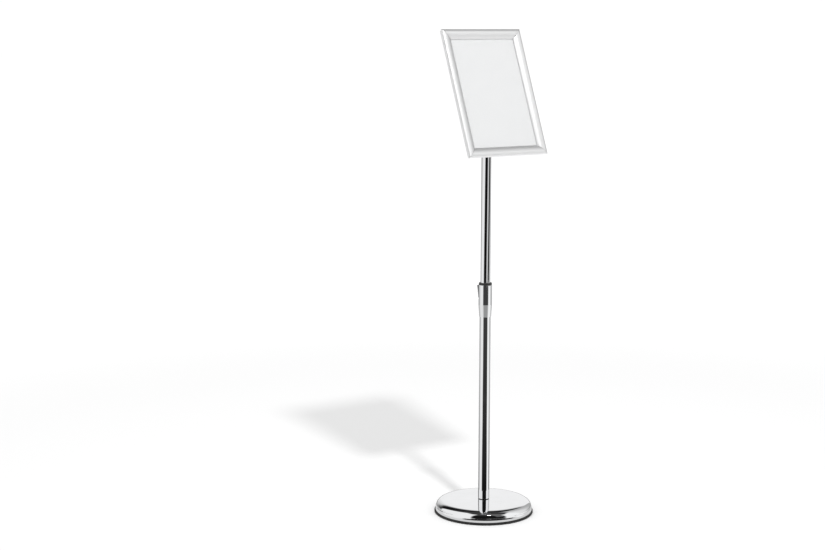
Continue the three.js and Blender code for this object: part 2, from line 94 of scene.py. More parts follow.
# ------------------------------------------------------------------ node materials
class Nodes:
    """Short names for building one material's node tree."""

    def __init__(self, name):
        self.mat = bpy.data.materials.new(name)
        self.mat.use_nodes = True
        self.nt = self.mat.node_tree
        self.nt.nodes.clear()
        self.out = self.nt.nodes.new("ShaderNodeOutputMaterial")

    def add(self, kind, **values):
        n = self.nt.nodes.new(kind)
        for k, v in values.items():
            if hasattr(n, k):
                setattr(n, k, v)
            else:
                n.inputs[k.replace("_", " ")].default_value = v
        return n

    def wire(self, a, b):
        self.nt.links.new(a, b)

    def coords(self, scale=(1, 1, 1)):
        tc = self.add("ShaderNodeTexCoord")
        mp = self.add("ShaderNodeMapping")
        mp.inputs["Scale"].default_value = scale
        self.wire(tc.outputs["Object"], mp.inputs["Vector"])
        return mp.outputs["Vector"]

    def noise(self, vector, scale, detail=3.0, rough=0.5):
        n = self.add("ShaderNodeTexNoise")
        n.inputs["Scale"].default_value = scale
        n.inputs["Detail"].default_value = detail
        n.inputs["Roughness"].default_value = rough
        self.wire(vector, n.inputs["Vector"])
        return n.outputs["Fac"]

    def span(self, value, lo, hi, out_lo, out_hi):
        n = self.add("ShaderNodeMapRange")
        n.inputs["From Min"].default_value = lo
        n.inputs["From Max"].default_value = hi
        n.inputs["To Min"].default_value = out_lo
        n.inputs["To Max"].default_value = out_hi
        self.wire(value, n.inputs["Value"])
        return n.outputs["Result"]

    def maths(self, op, a, b=None):
        n = self.add("ShaderNodeMath")
        n.operation = op
        for i, x in enumerate((a, b)):
            if x is None:
                continue
            if isinstance(x, (int, float)):
                n.inputs[i].default_value = x
            else:
                self.wire(x, n.inputs[i])
        return n.outputs[0]

    def ramp(self, value, stops):
        n = self.add("ShaderNodeValToRGB")
        e = n.color_ramp.elements
        while len(e) < len(stops):
            e.new(0.5)
        for s, (pos, col) in zip(e, stops):
            s.position = pos
            s.color = (*col, 1)
        self.wire(value, n.inputs["Fac"])
        return n.outputs["Color"]

    def bump(self, height, strength, distance=0.0005, normal=None):
        n = self.add("ShaderNodeBump")
        n.inputs["Strength"].default_value = strength
        n.inputs["Distance"].default_value = distance
        self.wire(height, n.inputs["Height"])
        if normal is not None:
            self.wire(normal, n.inputs["Normal"])
        return n.outputs["Normal"]

    def principled(self, color, rough, metallic=0.0, normal=None, **more):
        p = self.add("ShaderNodeBsdfPrincipled")
        for key, v in (("Base Color", color), ("Roughness", rough)):
            if isinstance(v, (int, float)):
                p.inputs[key].default_value = v
            elif isinstance(v, tuple):
                p.inputs[key].default_value = (*v, 1)
            else:
                self.wire(v, p.inputs[key])
        p.inputs["Metallic"].default_value = metallic
        for k, v in more.items():
            p.inputs[k.replace("_", " ")].default_value = v
        if normal is not None:
            self.wire(normal, p.inputs["Normal"])
        self.wire(p.outputs[0], self.out.inputs["Surface"])
        return p


def grey(v, warm=0.0):
    return (v * (1 + warm), v, v * (1 - warm))


def make_chrome():
    """Mirror plate: clear reflection, faint handling haze and fine polishing lines."""
    m = Nodes("chrome")
    v = m.coords()
    haze = m.noise(v, 26, 4, 0.6)
    fine = m.noise(m.coords((1, 1, 0.06)), 1500, 2, 0.5)
    rough = m.maths(
        "ADD", m.span(haze, 0.35, 0.75, 0.012, 0.035), m.span(fine, 0.3, 0.7, 0.0, 0.01)
    )
    color = m.ramp(haze, [(0.3, (0.9, 0.905, 0.915)), (0.75, (0.865, 0.87, 0.878))])
    normal = m.bump(m.noise(v, 420, 3, 0.5), 0.012, 0.0002)
    m.principled(color, rough, 1.0, normal)
    return m.mat


def make_anodised():
    """Satin anodised extrusion: die lines run along local X, roughness and tone drift a little."""
    m = Nodes("anodised_aluminium")
    v = m.coords()
    lines = m.noise(m.coords((0.012, 1, 1)), 2600, 3, 0.6)
    broad = m.noise(m.coords((0.15, 1, 1)), 60, 3, 0.5)
    grain = m.noise(v, 5200, 2, 0.6)
    rough = m.maths(
        "ADD", m.span(broad, 0.3, 0.7, 0.47, 0.52), m.span(lines, 0.3, 0.7, 0.0, 0.05)
    )
    color = m.ramp(
        m.maths("ADD", m.maths("MULTIPLY", lines, 0.5), m.maths("MULTIPLY", broad, 0.5)),
        [(0.2, (0.92, 0.922, 0.925)), (0.8, (0.975, 0.976, 0.978))],
    )
    height = m.maths("ADD", m.maths("MULTIPLY", lines, 0.7), m.maths("MULTIPLY", grain, 0.3))
    # Painted shade: the room is dimmer above and to the right, so the base colour of faces turned that way is
    # darkened to stand in for the light they would not get.
    way = m.add("ShaderNodeNewGeometry")
    axes = m.add("ShaderNodeSeparateXYZ")
    m.wire(way.outputs["Normal"], axes.inputs[0])
    up = m.span(axes.outputs["Z"], 0.38, 0.94, 0.0, 0.40)
    right = m.span(axes.outputs["X"], -0.02, 0.5, 0.0, 0.36)
    painted_shade_keep = m.maths("MULTIPLY", m.maths("SUBTRACT", 1.0, up), m.maths("SUBTRACT", 1.0, right))
    # painted shade: the base colour is scaled down on faces turned up or to the right
    shade = m.add("ShaderNodeVectorMath")
    shade.operation = "SCALE"
    m.wire(color, shade.inputs[0])
    m.wire(painted_shade_keep, shade.inputs["Scale"])
    m.principled(shade.outputs[0], rough, 0.96, m.bump(height, 0.1, 0.00012))
    return m.mat


def make_steel(name="zinc_steel", tone=0.62, rough_lo=0.26, rough_hi=0.42):
    m = Nodes(name)
    v = m.coords()
    spangle = m.noise(v, 160, 4, 0.6)
    fine = m.noise(v, 2600, 2, 0.5)
    color = m.ramp(
        spangle, [(0.3, grey(tone * 0.86, -0.01)), (0.7, grey(tone * 1.1, 0.01))]
    )
    m.principled(
        color, m.span(spangle, 0.3, 0.7, rough_lo, rough_hi), 1.0, m.bump(fine, 0.12, 0.0001)
    )
    return m.mat


def make_coat():
    """Silver powder coat: fine orange peel and flake."""
    m = Nodes("silver_paint")
    v = m.coords()
    peel = m.noise(v, 900, 2, 0.5)
    flake = m.noise(v, 6500, 1, 0.5)
    broad = m.noise(v, 34, 3, 0.5)
    color = m.ramp(
        m.maths("ADD", m.maths("MULTIPLY", flake, 0.6), m.maths("MULTIPLY", broad, 0.4)),
        [(0.32, (0.44, 0.447, 0.456)), (0.68, (0.6, 0.606, 0.615))],
    )
    m.principled(
        color, m.span(broad, 0.3, 0.7, 0.36, 0.48), 0.65, m.bump(peel, 0.22, 0.00025)
    )
    return m.mat


def make_rubber():
    """Moulded black rubber with a light bloom."""
    m = Nodes("black_rubber")
    v = m.coords()
    bloom = m.noise(v, 48, 5, 0.65)
    grain = m.noise(v, 2400, 3, 0.6)
    color = m.ramp(bloom, [(0.35, grey(0.0085)), (0.8, grey(0.022, 0.03))])
    m.principled(
        color,
        m.span(bloom, 0.3, 0.75, 0.5, 0.72),
        0.0,
        m.bump(grain, 0.22, 0.00018),
        Specular_IOR_Level=0.35,
    )
    return m.mat


def make_plastic(name, tone, rough_lo, rough_hi, grain_scale=2200, strength=0.3, warm=0.0):
    m = Nodes(name)
    v = m.coords()
    cloud = m.noise(v, 70, 4, 0.6)
    grain = m.noise(v, grain_scale, 3, 0.7)
    color = m.ramp(cloud, [(0.3, grey(tone * 0.9, warm)), (0.75, grey(tone * 1.12, warm))])
    m.principled(
        color, m.span(cloud, 0.3, 0.7, rough_lo, rough_hi), 0.0, m.bump(grain, strength, 0.0002)
    )
    return m.mat


def make_iron():
    m = Nodes("cast_iron")
    v = m.coords()
    pits = m.noise(v, 520, 5, 0.7)
    patch = m.noise(v, 40, 4, 0.6)
    color = m.ramp(patch, [(0.3, (0.035, 0.035, 0.037)), (0.75, (0.075, 0.07, 0.066))])
    m.principled(color, m.span(pits, 0.3, 0.7, 0.55, 0.8), 0.35, m.bump(pits, 0.6, 0.0006))
    return m.mat


def make_paper():
    """Blank uncoated sheet: fibre mottling and a soft tooth."""
    m = Nodes("sheet_paper")
    v = m.coords()
    fibre = m.noise(m.coords((1, 0.5, 1)), 1400, 4, 0.6)
    color = m.ramp(fibre, [(0.0, (0.682, 0.682, 0.682)), (1.0, (0.712, 0.712, 0.712))])
    tooth = m.noise(v, 3800, 3, 0.6)
    m.principled(color, 0.82, 0.0, m.bump(tooth, 0.05, 0.00005), Specular_IOR_Level=0.2)
    return m.mat


def make_board():
    m = Nodes("pale_board")
    v = m.coords()
    fibre = m.noise(m.coords((1, 0.3, 1)), 700, 5, 0.65)
    cloud = m.noise(v, 24, 4, 0.6)
    color = m.ramp(
        m.maths("ADD", m.maths("MULTIPLY", fibre, 0.4), m.maths("MULTIPLY", cloud, 0.6)),
        [(0.3, (0.66, 0.665, 0.675)), (0.7, (0.74, 0.745, 0.755))],
    )
    m.principled(color, m.span(cloud, 0.3, 0.7, 0.5, 0.66), 0.0, m.bump(fibre, 0.15, 0.00015))
    return m.mat


def make_clear():
    """Clear anti-glare sheet: see-through, with a broad soft sheen."""
    m = Nodes("clear_sheet")
    v = m.coords()
    tooth = m.noise(v, 2600, 3, 0.6)
    drift = m.noise(v, 9, 2, 0.5)
    see = m.add("ShaderNodeBsdfTransparent")
    see.inputs["Color"].default_value = (0.995, 0.997, 0.998, 1)
    shine = m.add("ShaderNodeBsdfGlossy")
    shine.inputs["Color"].default_value = (1, 1, 1, 1)
    m.wire(m.span(drift, 0.0, 1.0, 0.26, 0.34), shine.inputs["Roughness"])
    m.wire(m.bump(tooth, 0.03, 0.00005), shine.inputs["Normal"])
    fres = m.add("ShaderNodeFresnel")
    fres.inputs["IOR"].default_value = 1.46
    side = m.add("ShaderNodeNewGeometry")
    front = m.maths("SUBTRACT", 1.0, side.outputs["Backfacing"])
    mix = m.add("ShaderNodeMixShader")
    m.wire(m.maths("MULTIPLY", fres.outputs[0], front), mix.inputs[0])
    m.wire(see.outputs[0], mix.inputs[1])
    m.wire(shine.outputs[0], mix.inputs[2])
    m.wire(mix.outputs[0], m.out.inputs["Surface"])
    return m.mat


MATS = {
    "chrome": make_chrome(),
    "anodised_aluminium": make_anodised(),
    "steel": make_steel(),
    "silver_paint": make_coat(),
    "black_rubber": make_rubber(),
    "black_plastic": make_plastic("black_plastic", 0.016, 0.38, 0.52),
    "cast_iron": make_iron(),
    "nylon": make_plastic("nylon", 0.8, 0.38, 0.5, 1500, 0.12, 0.02),
    "sheet_paper": make_paper(),
    "pale_board": make_board(),
    "clear_sheet": make_clear(),
}


# ------------------------------------------------------------------ mesh helpers, in millimetres
def soften(points, radius, closed=True, n=4):
    """Rounds the corners of a 2-D outline; radius is one number or one per corner."""
    out, m = [], len(points)
    for i, p in enumerate(points):
        r = radius[i] if isinstance(radius, (list, tuple)) else radius
        if r <= 0 or (not closed and i in (0, m - 1)):
            out.append(tuple(p))
            continue
        p = Vector(p)
        a, c = Vector(points[i - 1]) - p, Vector(points[(i + 1) % m]) - p
        la, lc = a.length, c.length
        if la < 1e-6 or lc < 1e-6:
            out.append(tuple(p))
            continue
        a, c = a / la, c / lc
        angle = math.acos(max(-1, min(1, a.dot(c))))
        if angle > math.radians(176):
            out.append(tuple(p))
            continue
        t = min(r / math.tan(angle / 2), 0.46 * la, 0.46 * lc)
        p0, p1 = p + a * t, p + c * t
        for k in range(n + 1):
            s = k / n
            out.append(tuple(p0 * (1 - s) ** 2 + p * (2 * s * (1 - s)) + p1 * s * s))
    return out


def bezier(p0, p1, p2, p3, n):
    out = []
    for k in range(n + 1):
        t = k / n
        q = [
            (1 - t) ** 3 * a + 3 * t * (1 - t) ** 2 * b + 3 * t * t * (1 - t) * c + t**3 * d
            for a, b, c, d in zip(p0, p1, p2, p3)
        ]
        out.append(tuple(q))
    return out


def spline(points, n=5):
    """Catmull-Rom curve through the points."""
    out, m = [], len(points)
    for i in range(m - 1):
        p0, p1, p2, p3 = (
            points[max(i - 1, 0)],
            points[i],
            points[i + 1],
            points[min(i + 2, m - 1)],
        )
        for k in range(n):
            t = k / n
            out.append(
                tuple(
                    0.5
                    * (
                        2 * b
                        + (c - a) * t
                        + (2 * a - 5 * b + 4 * c - d) * t * t
                        + (3 * b - a - 3 * c + d) * t**3
                    )
                    for a, b, c, d in zip(p0, p1, p2, p3)
                )
            )
    out.append(tuple(points[-1]))
    return out


def arc(cx, cy, r, a0, a1, n):
    return [
        (
            cx + r * math.cos(math.radians(a0 + (a1 - a0) * i / n)),
            cy + r * math.sin(math.radians(a0 + (a1 - a0) * i / n)),
        )
        for i in range(n + 1)
    ]


def supported(profile, gap=0.35, long=2.5):
    """Adds points near the ends of long straight runs, so that shading stays true there."""
    closed = not (profile[0][0] < 1e-6 and profile[-1][0] < 1e-6)
    out, m = [], len(profile)
    for i in range(m if closed else m - 1):
        a, b = profile[i], profile[(i + 1) % m]
        out.append(a)
        d = math.dist(a, b)
        if d > long:
            for t in (gap / d, 1 - gap / d):
                out.append((a[0] + (b[0] - a[0]) * t, a[1] + (b[1] - a[1]) * t))
    if not closed:
        out.append(profile[-1])
    return out


def lathe(profile, segs=96, matrix=None):
    profile = supported(profile)
    bm = bmesh.new()
    rings = []
    for r, z in profile:
        if r < 1e-6:
            rings.append([bm.verts.new((0, 0, z))])
        else:
            rings.append(
                [
                    bm.verts.new(
                        (
                            r * math.cos(2 * math.pi * k / segs),
                            r * math.sin(2 * math.pi * k / segs),
                            z,
                        )
                    )
                    for k in range(segs)
                ]
            )
    pairs = list(zip(rings, rings[1:]))
    if not (profile[0][0] < 1e-6 and profile[-1][0] < 1e-6):
        pairs.append((rings[-1], rings[0]))
    for a, b in pairs:
        for k in range(segs):
            j = (k + 1) % segs
            if len(a) == 1:
                bm.faces.new((a[0], b[j], b[k]))
            elif len(b) == 1:
                bm.faces.new((a[k], a[j], b[0]))
            else:
                bm.faces.new((a[k], a[j], b[j], b[k]))
    if matrix is not None:
        bmesh.ops.transform(bm, matrix=matrix, verts=bm.verts)
    bmesh.ops.recalc_face_normals(bm, faces=bm.faces)
    return bm


def prism(outline, z0, z1, matrix=None):
    bm = bmesh.new()
    lo = [bm.verts.new((x, y, z0)) for x, y in outline]
    hi = [bm.verts.new((x, y, z1)) for x, y in outline]
    m = len(outline)
    bm.faces.new(lo)
    bm.faces.new(hi)
    for i in range(m):
        j = (i + 1) % m
        bm.faces.new((lo[i], lo[j], hi[j], hi[i]))
    if matrix is not None:
        bmesh.ops.transform(bm, matrix=matrix, verts=bm.verts)
    bmesh.ops.recalc_face_normals(bm, faces=bm.faces)
    return bm


def rod(r, z0, z1, segs=48, matrix=None):
    return lathe([(0, z0), (r, z0), (r, z1), (0, z1)], segs, matrix)


def block(x0, x1, y0, y1, z0, z1, matrix=None):
    return prism([(x0, y0), (x1, y0), (x1, y1), (x0, y1)], z0, z1, matrix)


def ease(bm, width, angle=40, segments=2):
    """Small rounds on every edge sharper than angle."""
    edges = [
        e
        for e in bm.edges
        if len(e.link_faces) == 2 and e.calc_face_angle(0) > math.radians(angle)
    ]
    if edges:
        bmesh.ops.bevel(
            bm,
            geom=edges,
            offset=width,
            offset_type="OFFSET",
            segments=segments,
            profile=0.5,
            affect="EDGES",
            clamp_overlap=True,
        )
    return bm


def to_object(name, bm):
    mesh = bpy.data.meshes.new(name)
    bm.to_mesh(mesh)
    bm.free()
    ob = bpy.data.objects.new(name, mesh)
    scene.collection.objects.link(ob)
    return ob


def boolean(bm, tools):
    """Cuts or joins bm with [(operation, bmesh), ...] and gives a bmesh back."""
    ob = to_object("work", bm)
    others = []
    for i, (op, t) in enumerate(tools):
        o = to_object(f"tool_{i}", t)
        others.append(o)
        mod = ob.modifiers.new(f"b{i}", "BOOLEAN")
        mod.operation = op
        mod.solver = "EXACT"
        mod.object = o
    dg = bpy.context.evaluated_depsgraph_get()
    dg.update()
    mesh = bpy.data.meshes.new_from_object(ob.evaluated_get(dg), depsgraph=dg)
    out = bmesh.new()
    out.from_mesh(mesh)
    for o in [ob, *others]:
        data = o.data
        bpy.data.objects.remove(o)
        bpy.data.meshes.remove(data)
    bpy.data.meshes.remove(mesh)
    bmesh.ops.remove_doubles(out, verts=out.verts, dist=1e-4)
    bmesh.ops.dissolve_degenerate(out, edges=out.edges, dist=1e-4)
    bmesh.ops.recalc_face_normals(out, faces=out.faces)
    return out


def piece(name, bm, slot, body, *stands_for, matrix=None, sharp=32):
    """A finished piece: millimetres become metres, smooth by angle, material, body, node."""
    bmesh.ops.scale(bm, vec=(MM, MM, MM), verts=bm.verts)
    for f in bm.faces:
        f.smooth = True
    for e in bm.edges:
        e.smooth = e.calc_face_angle(0) < math.radians(sharp)
    ob = to_object(name, bm)
    if matrix is not None:
        loc = matrix.to_translation() * MM
        ob.matrix_world = Matrix.Translation(loc) @ matrix.to_3x3().to_4x4()
    ob.data.materials.append(MATS[slot])
    wn = ob.modifiers.new("weighted_normals", "WEIGHTED_NORMAL")
    wn.keep_sharp = True
    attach(ob, body)
    if stands_for:
        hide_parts(*stands_for)
    return ob


T = Matrix.Translation
RX = lambda d: Matrix.Rotation(math.radians(d), 4, "X")  # noqa: E731
RY = lambda d: Matrix.Rotation(math.radians(d), 4, "Y")  # noqa: E731
RZ = lambda d: Matrix.Rotation(math.radians(d), 4, "Z")  # noqa: E731
HEXAGON = [(math.cos(math.radians(30 + 60 * i)), math.sin(math.radians(30 + 60 * i))) for i in range(6)]


def hexagon(af):
    r = af / 2 / math.cos(math.radians(30))
    return [(r * x, r * y) for x, y in HEXAGON]


# ------------------------------------------------------------------ base
ring = [
    (117, 0), (BASE_R - 0.7, 0), (BASE_R, 0.8), (BASE_R, 4.7), (BASE_R - 0.9, 6.0),
    (123.4, 6.0), (120.8, 6.0), (120.8, 2.2), (117, 2.2),
]
piece(
    "edge_ring_fine",
    lathe(soften(ring, [0.2, 0.6, 0.5, 0.6, 0.4, 0.2, 0.15, 0.15, 0.2], n=4), 288),
    "black_rubber", "base", "edge_ring",
)
top = cover_hi.z
shoulder = bezier((92, top - 1.9), (109, top - 2.6), (119.7, top - 6.5), (120.75, 16.7), 40)
outer = (
    [(122.6, 6.35), (122.55, 8.0), (122.3, 11.5), (121.85, 14.6), (121.6, 15.5), (121.2, 16.0), (120.9, 16.25)]
    + shoulder[::-1][1:]
    + [(r, top - 0.8 * (r / 60) ** 2) for r in (80, 68, 56, 44, 32, 20, 12)]
    + [(7.2, top), (6.6, top - 0.15)]
)
inner = [
    (6.6, top - 1.2), (60, top - 2.0), (92, top - 3.1), (105.6, top - 4.6), (112.1, top - 6.7),
    (116.0, 23.9), (118.2, 20.0), (119.6, 15.6), (121.2, 10.8), (121.5, 6.35),
]
piece("base_cover_fine", lathe(outer + inner, 360), "chrome", "base", "base_cover", sharp=9)
washer_lo, washer_hi = mm_box("pole_seat_washer")
piece(
    "pole_seat_washer_fine",
    lathe(
        soften(
            [(6.5, washer_lo.z), (washer_hi.x - 1.1, washer_lo.z), (washer_hi.x - 1.1, washer_hi.z), (6.5, washer_hi.z)],
            0.2,
        ),
        128,
    ),
    "black_plastic", "base", "pole_seat_washer",
)


# ------------------------------------------------------------------ column
def tube(r_in, r_out, z0, z1, segs=160):
    return lathe(
        soften([(r_in, z0), (r_out, z0), (r_out, z1), (r_in, z1)], 0.3, n=3), segs
    )


piece(
    "lower_tube_fine", tube(LOWER_R - 0.9, LOWER_R, low_lo.z, low_hi.z),
    "chrome", "base", "lower_tube",
)
lock_z = TILT.z - 42
upper = boolean(
    tube(UPPER_R - 1.2, UPPER_R, up_lo.z, up_hi.z),
    [("DIFFERENCE", rod(1.9, 5, 20, 32, T((0, 0, lock_z)) @ RX(-90)))],
)
piece("upper_tube_fine", upper, "chrome", "mast", "upper_tube")

# collar, in its own frame: x towards the lever
LOCK = RZ(math.degrees(LEVER_AZ))
z0, z1 = col_lo.z, col_hi.z
zc = z0 + 31
step = low_hi.z + 0.6
collar = lathe(
    soften(
        [
            (14.3, z0), (14.95, z0), (COLLAR_R, zc), (COLLAR_R, z1), (15.9, z1),
            (15.7, z1 - 0.4), (15.7, step), (14.3, step),
        ],
        [0.25, 0.45, 9.0, 0.7, 0.25, 0.15, 0.1, 0.2],
        n=8,
    ),
    192,
)
collar = boolean(
    collar,
    [
        ("DIFFERENCE", ease(block(14.2, 24, -5.3, 5.3, PIN.z - 4.6, z1 + 2), 0.9, 60, 3)),
        ("DIFFERENCE", rod(0.95, -11, 11, 32, T((PIN_R, 0, PIN.z)) @ RX(90))),
        ("DIFFERENCE", rod(1.75, 12, 20, 32, RZ(-90) @ T((0, 0, 520)) @ RY(90))),
    ],
)
piece("collar_fine", collar, "chrome", "base", "collar", matrix=LOCK)

# sleeve with its ring, seen as the dark band on top of the collar
sl0, sl1 = sleeve_lo.z, sleeve_hi.z
ring_r = (sleeve_hi.x - sleeve_lo.x) / 2
prof = [
    (12.65, sl0), (15.35, sl0), (15.35, z1 + 0.3), (ring_r, z1 + 0.3),
    (ring_r, sl1 - 0.5), (ring_r - 0.6, sl1), (13.3, sl1), (12.65, sl1 - 0.6),
]
sleeve = boolean(
    lathe(soften(prof, [0.3, 0.3, 0.15, 0.3, 0.5, 0.5, 0.3, 0.3], n=4), 160),
    [
        ("DIFFERENCE", block(0, 24, -5.3, 5.3, sl0 - 0.4, PIN.z + 5)),
        ("DIFFERENCE", block(14.2, 24, -5.6, 5.6, PIN.z + 4.5, z1 + 0.15)),
    ],
)
piece("clutch_sleeve_fine", sleeve, "black_plastic", "base", "clutch_sleeve", matrix=LOCK)

# lever: crowned outside, three grip ridges below the tip
cam = []
for i in range(25):
    a = 170 + i * 145 / 24
    k = min(1, max(0, (a - 185) / 75))
    r = 1.7 - 0.55 * k
    cam.append((PIN_R + r * math.cos(math.radians(a)), PIN.z + r * math.sin(math.radians(a))))
ridges = []
for i in range(4):
    z = PIN.z + 17.5 + i * 2.3
    x = 17.6 + (z - PIN.z - 4) * 0.1
    ridges += [(x, z - 0.75), (x - 0.28, z - 0.35), (x - 0.28, z + 0.35), (x + 0.1, z + 0.75)]
face = (
    [(17.35, PIN.z + 0.2), (17.6, PIN.z + 4)]
    + ridges
    + spline([(19.9, PIN.z + 27), (20.35, PIN.z + 29.6), (19.9, PIN.z + 30.9), (18.8, PIN.z + 31.2), (17.0, PIN.z + 30.6), (16.0, PIN.z + 29.0), (15.75, PIN.z + 26)], 4)
    + [(15.2, PIN.z + 5.5), (14.5, PIN.z + 3.0)]
)
lever = prism([(x, z) for x, z in cam + face], -4.9, 4.9, RX(90))
lever = boolean(lever, [("DIFFERENCE", rod(0.95, -9, 9, 32, T((PIN_R, 0, PIN.z)) @ RX(90)))])
lever = ease(lever, 0.4, 50, 3)
piece("lock_lever_fine", lever, "chrome", "lever", "lock_lever", matrix=LOCK, sharp=40)
piece(
    "lever_pin_fine",
    lathe([(0, -5.9), (0.6, -5.9), (0.75, -5.75), (0.75, 5.75), (0.6, 5.9), (0, 5.9)], 32, T((PIN_R, 0, PIN.z)) @ RX(90)),
    "steel", "base", "lever_pin", matrix=LOCK,
)


# ------------------------------------------------------------------ head
def pan_screw(r, length, head_r, head_h):
    dome = bezier((head_r, 0.35), (head_r, head_h * 0.8), (head_r * 0.7, head_h), (0, head_h), 10)
    body = lathe(
        [(0, -length), (r * 0.55, -length), (r, -length + 1), (r, 0), (head_r - 0.15, 0)] + dome, 48
    )
    return boolean(
        body,
        [
            ("DIFFERENCE", ease(block(-head_r * 0.55, head_r * 0.55, -0.35, 0.35, head_h * 0.45, 9), 0.06, 60, 1)),
            ("DIFFERENCE", ease(block(-0.35, 0.35, -head_r * 0.55, head_r * 0.55, head_h * 0.45, 9), 0.06, 60, 1)),
        ],
    )


def at_x(z=0.0):
    return T((0, 0, TILT.z)) @ RY(90)


EAR0, EAR1 = 6.35, 10.95
ear = [(-11, -26), (11, -26), (11, 0)] + arc(0, 0, 11, 0, 180, 40)[1:-1] + [(-11, 0)]
side = T((0, 0, TILT.z)) @ RZ(90) @ RX(90)
fork = boolean(
    prism(ear, EAR0, EAR1, side),
    [
        ("UNION", prism(ear, -EAR1, -EAR0, side)),
        ("UNION", rod(13.2, TILT.z - 29, TILT.z - 24.5, 96)),
        ("UNION", lathe([(0, TILT.z - 56), (10.2, TILT.z - 56), (11.0, TILT.z - 54.5), (11.0, TILT.z - 28), (0, TILT.z - 28)], 96)),
        ("INTERSECT", rod(15.6, TILT.z - 60, TILT.z + 20, 96)),
        ("DIFFERENCE", rod(3.25, -20, 20, 48, at_x())),
        ("DIFFERENCE", rod(1.8, 5, 20, 32, T((0, 0, lock_z)) @ RX(-90))),
    ],
)
piece("head_fork_fine", ease(fork, 0.7, 50, 3), "silver_paint", "mast", "head_fork")
piece(
    "head_lock_screw_fine", pan_screw(1.5, 5.6, 2.9, 1.6), "steel", "mast", "head_lock_screw",
    matrix=T((0, UPPER_R + 0.3, lock_z)) @ RX(-90),
)
BG = BACK  # tilt axis to the back face
F0, F1 = BG - 8.0, BG - 4.0
tongue = boolean(
    prism(
        arc(0, 0, 10.5, 180, 360, 40) + [(10.5, 8), (14, F0 + 0.5), (-14, F0 + 0.5), (-10.5, 8)],
        -6, 6, TILTED @ RZ(90) @ RX(90),
    ),
    [
        ("UNION", lathe([(0, F0), (23, F0), (24, F0 + 1), (24, F1 - 0.5), (23.5, F1), (0, F1)], 128, TILTED)),
        ("DIFFERENCE", rod(3.25, -20, 20, 48, at_x())),
        ("DIFFERENCE", rod(2.75, 8.5, BG, 48, TILTED)),
    ],
)
piece("tilt_tongue_fine", ease(tongue, 0.5, 50, 3), "silver_paint", "tilt_head", "tilt_tongue")

bolt = lathe([(0, -38.2), (2.5, -38.2), (2.95, -37.7), (2.95, 0.2), (0, 0.2)], 48)
cap = boolean(
    prism(hexagon(10), 0, 4.0),
    [("INTERSECT", lathe([(0, -1), (7, -1), (7, 2.7), (4.6, 4.0), (0, 4.0)], 64))],
)
bolt = boolean(bolt, [("UNION", cap)])
piece(
    "tilt_bolt_fine", ease(bolt, 0.12, 40, 2), "steel", "mast", "tilt_bolt",
    matrix=T((-EAR1 - 0.35, 0, TILT.z)) @ RY(-90),
)
piece(
    "knob_washer_fine",
    lathe(soften([(3.25, EAR1 + 0.35), (7.2, EAR1 + 0.35), (7.2, EAR1 + 1.55), (3.25, EAR1 + 1.55)], 0.2), 64),
    "steel", "mast", "knob_washer", matrix=at_x(),
)
kx = EAR1 + 1.9
lobes = []
for i in range(180):
    a = i / 180 * 2 * math.pi
    r = 13.4 + 1.4 * math.cos(6 * a)
    lobes.append((r * math.cos(a), r * math.sin(a)))
grip = ease(prism(lobes, kx + 5, kx + 16), 1.4, 50, 4)
knob = boolean(
    grip,
    [
        ("UNION", rod(8.2, kx, kx + 6, 96)),
        ("UNION", lathe([(0, kx + 15), (11.2, kx + 15), (11.2, kx + 15.9)] + bezier((11.0, kx + 16.0), (10.4, kx + 17.3), (6, kx + 18.1), (0, kx + 18.2), 10), 96)),
        ("DIFFERENCE", rod(3.25, kx - 1, kx + 15, 48)),
    ],
)
piece("tilt_knob_fine", knob, "black_plastic", "knob", "tilt_knob", matrix=at_x(), sharp=40)
piece(
    "swivel_bolt_fine",
    lathe(
        [(0, 10.5), (2.2, 10.5), (2.45, 10.8), (2.45, BG - 1.0), (3.9, BG - 1.0), (3.9, BG + 0.05), (8.3, BG + 0.05), (8.5, BG + 0.25)]
        + bezier((8.5, BG + 0.4), (8.3, BG + 0.95), (7.4, BG + 1.1), (0, BG + 1.15), 8),
        80,
    ),
    "steel", "tilt_head", "swivel_bolt", matrix=TILTED,
)
piece(
    "friction_washer_fine",
    lathe(soften([(4.2, BG - 3.65), (21, BG - 3.65), (21, BG - 2.65), (4.2, BG - 2.65)], 0.2), 128),
    "nylon", "tilt_head", "friction_washer", matrix=TILTED,
)


# ------------------------------------------------------------------ snap frame
MITRE, HS, HT = 0.3, 2.6, 5.6
skin = spline(
    [(0.61, 7.27), (1.25, 8.25), (2.4, 9.3), (4.0, 10.3), (6.2, 11.1), (8.8, 11.5), (11.4, 11.4),
     (14.0, 10.9), (16.6, 10.1), (19.2, 8.9), (21.6, 7.5), (23.6, 6.1), (24.8, 5.1)], 4,
)
under = spline(
    [(23.9, 4.45), (22.8, 5.25), (21.0, 6.45), (18.7, 7.75), (16.2, 8.9), (13.7, 9.7),
     (11.2, 10.15), (8.9, 10.25), (6.7, 9.9), (5.3, 9.2), (4.75, 8.2), (4.75, 6.0)], 3,
)
FLAP = skin + [(25.02, 4.85), (24.95, 4.6), (24.75, 4.45)] + under + [(4.35, 5.3)] + arc(HS, HT, 1.5, -8, 140, 24)
bead = arc(HS, HT, 1.2, -118, 298 - 360 + 360, 40)
bead = [p for p in arc(HS, HT, 1.2, 298, -118, 40)[::-1] if p[1] > 4.6]
RAIL = (
    [(2.0, 0.4), (2.1, 0.15), (2.4, 0), (23.8, 0), (24, 0.2), (24, 0.95), (23.8, 1.15), (14.6, 1.15),
     (14.6, 6.05), (14.45, 6.2), (13.65, 6.2), (13.5, 6.05), (13.5, 4.6), (12.4, 4.6), (12.4, 3.8),
     (13.5, 3.8), (13.5, 1.15), (3.3, 1.15), (3.3, 3.8), (4.2, 3.8), (4.2, 4.5), (3.2, 4.55)]
    + bead
    + [(2.0, 4.55)]
)


